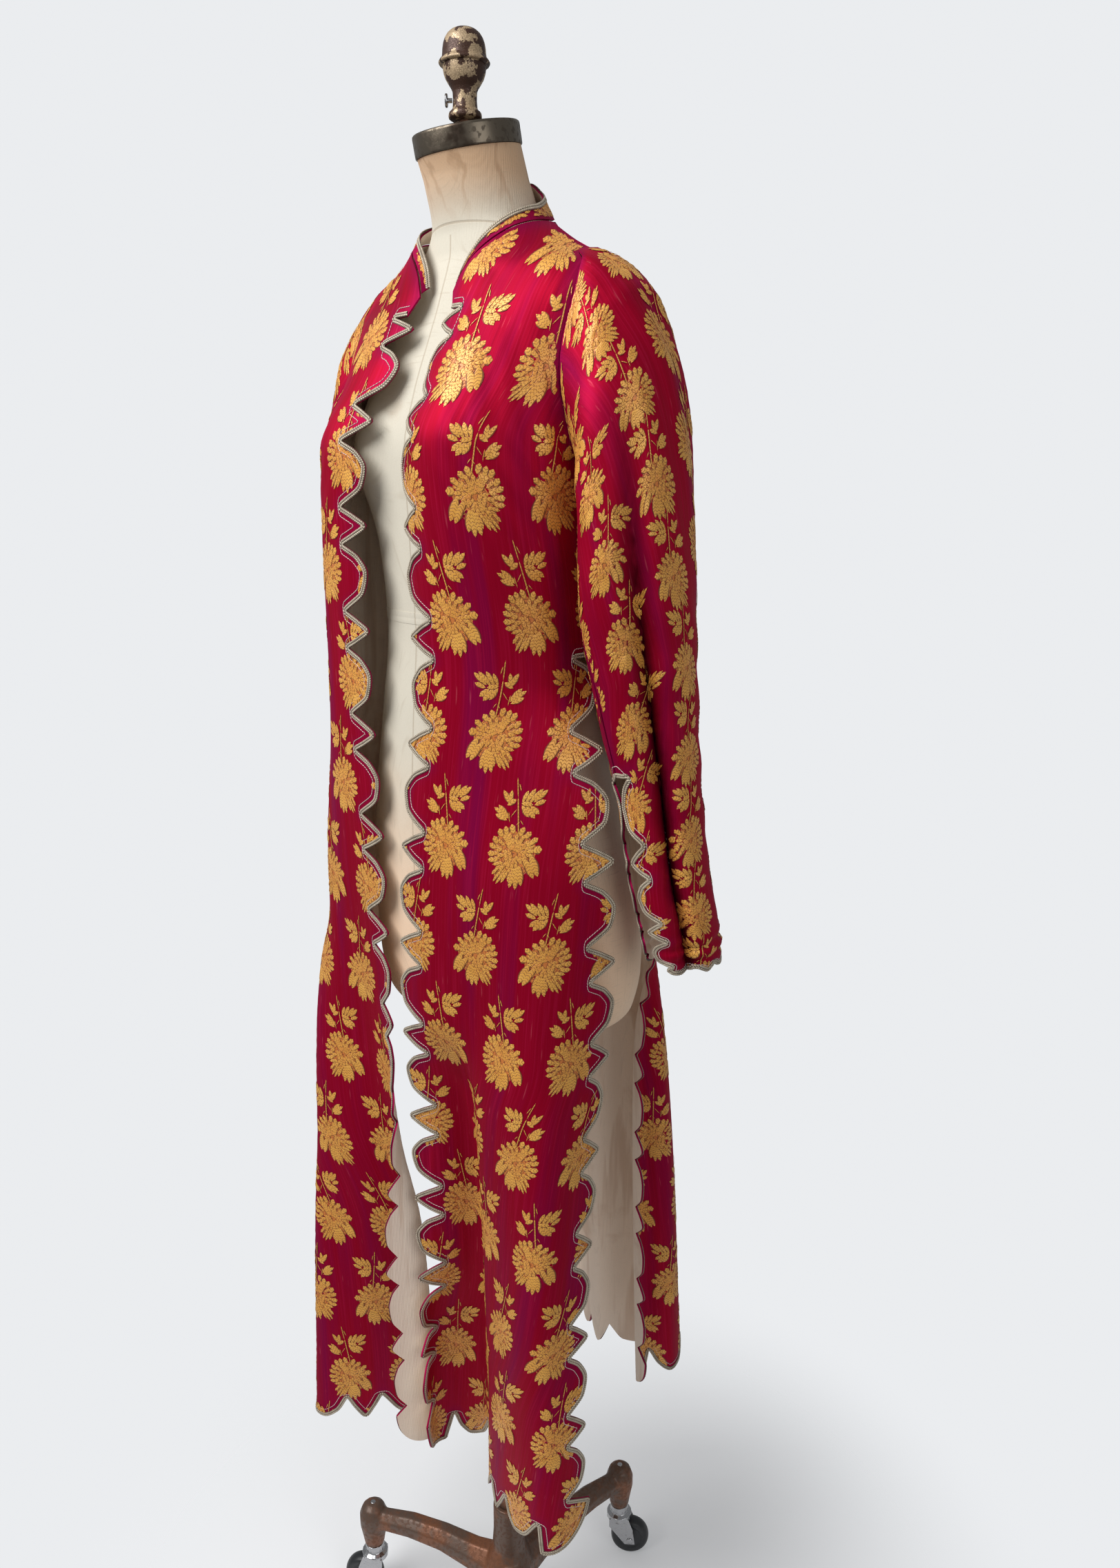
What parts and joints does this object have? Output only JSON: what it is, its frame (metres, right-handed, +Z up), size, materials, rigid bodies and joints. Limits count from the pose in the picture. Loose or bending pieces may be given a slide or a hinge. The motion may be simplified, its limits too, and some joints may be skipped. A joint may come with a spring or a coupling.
{
  "type": "turkmen coat on limbless dress form",
  "caption": "Long open silk coat with scalloped, braid-edged fronts, slits and hem, worn by a limbless dress form on a three-legged caster stand.",
  "frame": {"origin": "on the floor, under the middle of the whole part's box", "axes": "+Z up, -Y the way the wearer faces, +X the wearer's left"},
  "size_m": [0.4988, 0.4008, 1.8134],
  "materials": {
    "silk": "satin",
    "silver_braid": "satin",
    "linen": "matte",
    "pewter": "satin",
    "brass": "worn paint",
    "iron": "rusted satin",
    "steel": "bright",
    "rubber": "matte"
  },
  "bodies": {
    "base": {"base": "iron"},
    "form": {"form_torso": "linen", "neck_cap": "pewter", "finial_stem": "iron", "finial_body": "brass", "finial_bell": "brass", "thumb_screw": "steel", "post_flange": "iron", "post": "iron", "front_left": "silk", "braid_front_left": "silver_braid", "front_right": "silk", "braid_front_right": "silver_braid", "back": "silk", "braid_back": "silver_braid", "collar": "silk", "braid_collar": "silver_braid", "sleeve_left": "silk", "braid_sleeve_left": "silver_braid", "sleeve_right": "silk", "braid_sleeve_right": "silver_braid"},
    "caster_0": {"caster_0": "steel"},
    "wheel_0": {"wheel_0": "rubber"},
    "caster_1": {"caster_1": "steel"},
    "wheel_1": {"wheel_1": "rubber"},
    "caster_2": {"caster_2": "steel"},
    "wheel_2": {"wheel_2": "rubber"}
  },
  "joints": [
    {"name": "form_height", "type": "slide", "parent": "base", "child": "form", "axis": [0, 0, 1], "range_m": [0, 0.1]},
    {"name": "caster_swivel_0", "type": "hinge", "parent": "base", "child": "caster_0", "pos_m": [0.01491, 0.13661, 0.066], "axis": [0, 0, 1], "continuous": true},
    {"name": "wheel_spin_0", "type": "hinge", "parent": "caster_0", "child": "wheel_0", "pos_m": [0.0264, 0.14626, 0.0255], "axis": [-0.6428, 0.766, 0], "continuous": true},
    {"name": "caster_swivel_1", "type": "hinge", "parent": "base", "child": "caster_1", "pos_m": [-0.17106, -0.13549, 0.066], "axis": [0, 0, 1], "continuous": true},
    {"name": "wheel_spin_1", "type": "hinge", "parent": "caster_1", "child": "wheel_1", "pos_m": [-0.18335, -0.1441, 0.0255], "axis": [0.5736, -0.8192, 0], "continuous": true},
    {"name": "caster_swivel_2", "type": "hinge", "parent": "base", "child": "caster_2", "pos_m": [0.15677, -0.16014, 0.066], "axis": [0, 0, 1], "continuous": true},
    {"name": "wheel_spin_2", "type": "hinge", "parent": "caster_2", "child": "wheel_2", "pos_m": [0.16976, -0.16764, 0.0255], "axis": [0.5, 0.866, 0], "continuous": true}
  ]
}
